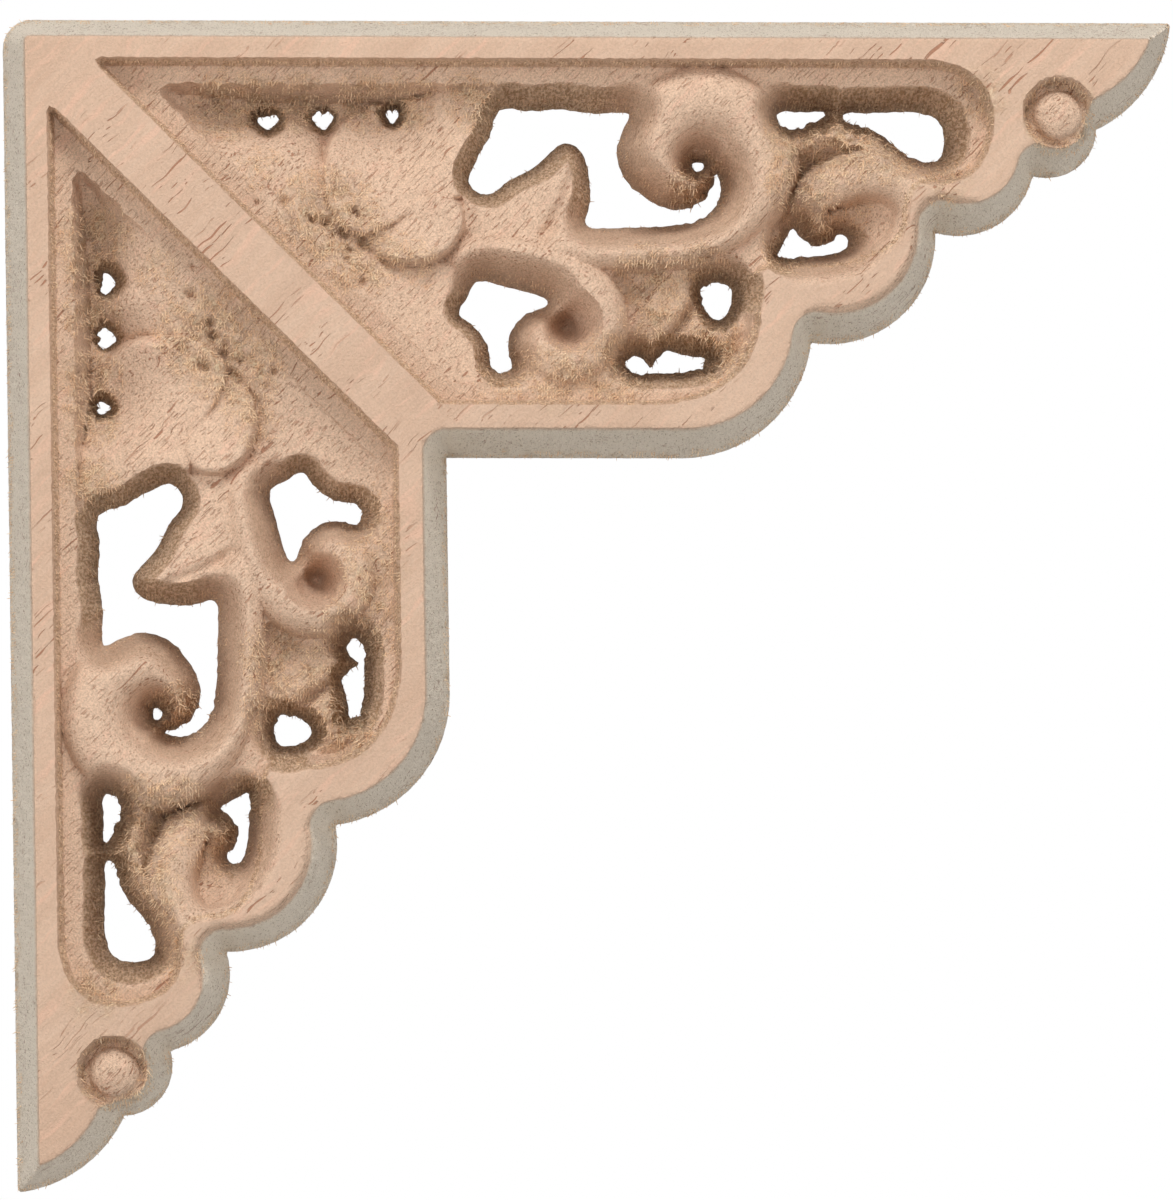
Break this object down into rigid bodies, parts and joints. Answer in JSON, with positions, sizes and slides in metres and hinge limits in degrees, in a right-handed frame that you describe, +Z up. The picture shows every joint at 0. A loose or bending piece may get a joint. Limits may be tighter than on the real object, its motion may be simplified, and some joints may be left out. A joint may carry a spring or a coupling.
{
  "type": "carved wooden corner onlay",
  "caption": "Pierced wooden corner onlay with two arms at a right angle, carved with flowers, leaves and scrolls on the front and flat on the back.",
  "frame": {"origin": "middle of the mounting face: on the flat back, behind the diagonal bar, 16 mm in from both outer edges", "axes": "+Y out of the flat back, into what the onlay is fixed to; +X along the upper arm; +Z up, away from the lower arm; the carved front faces -Y"},
  "size_m": [0.0802, 0.008, 0.0802],
  "materials": {
    "wood": "bare, as cut"
  },
  "bodies": {
    "root": {"corner_onlay": "wood"}
  },
  "joints": []
}
